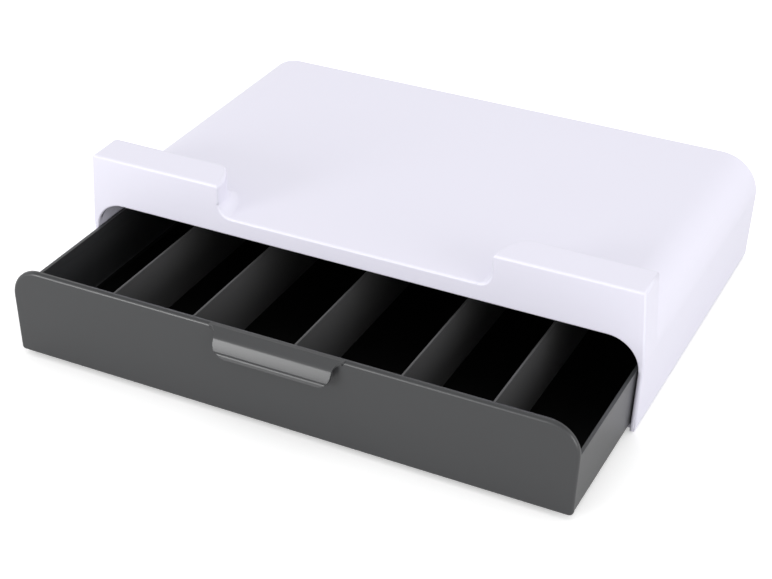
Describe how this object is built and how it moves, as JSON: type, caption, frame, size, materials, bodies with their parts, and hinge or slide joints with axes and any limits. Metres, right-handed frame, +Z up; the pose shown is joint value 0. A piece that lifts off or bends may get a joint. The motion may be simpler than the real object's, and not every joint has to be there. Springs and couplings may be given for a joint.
{
  "type": "condiment caddy with drawer",
  "caption": "Low pale plastic caddy with raised front ends over one wide dark drawer, divided into compartments and pulled by a rolled lip.",
  "frame": {"origin": "under the middle of the outline, on the table, with the drawer drawn out as in the picture", "axes": "+X across the front to the right as seen from the front, +Y from the front to the back, +Z up"},
  "size_m": [0.3072, 0.2714, 0.0786],
  "materials": {
    "cover_plastic": "smooth pale lavender white moulded plastic with a soft sheen",
    "base_plastic": "fine matt pale moulded plastic",
    "screw_steel": "bright zinc-plated steel",
    "foot_rubber": "soft pale grey rubber",
    "drawer_plastic": "satin dark grey moulded plastic",
    "divider_plastic": "satin near-black moulded plastic"
  },
  "bodies": {
    "housing": {"cover": "cover_plastic", "base_plate": "base_plastic", "base_screws": "screw_steel", "foot_front_left": "foot_rubber", "foot_front_right": "foot_rubber", "foot_rear_left": "foot_rubber", "foot_rear_right": "foot_rubber"},
    "drawer": {"drawer_tray": "drawer_plastic", "divider_1": "divider_plastic", "divider_2": "divider_plastic", "divider_3": "divider_plastic", "divider_4": "divider_plastic", "divider_5": "divider_plastic"}
  },
  "joints": [
    {"name": "drawer_slide", "type": "slide", "parent": "housing", "child": "drawer", "axis": [0, -1, 0], "range_m": [-0.075, 0.041]}
  ]
}
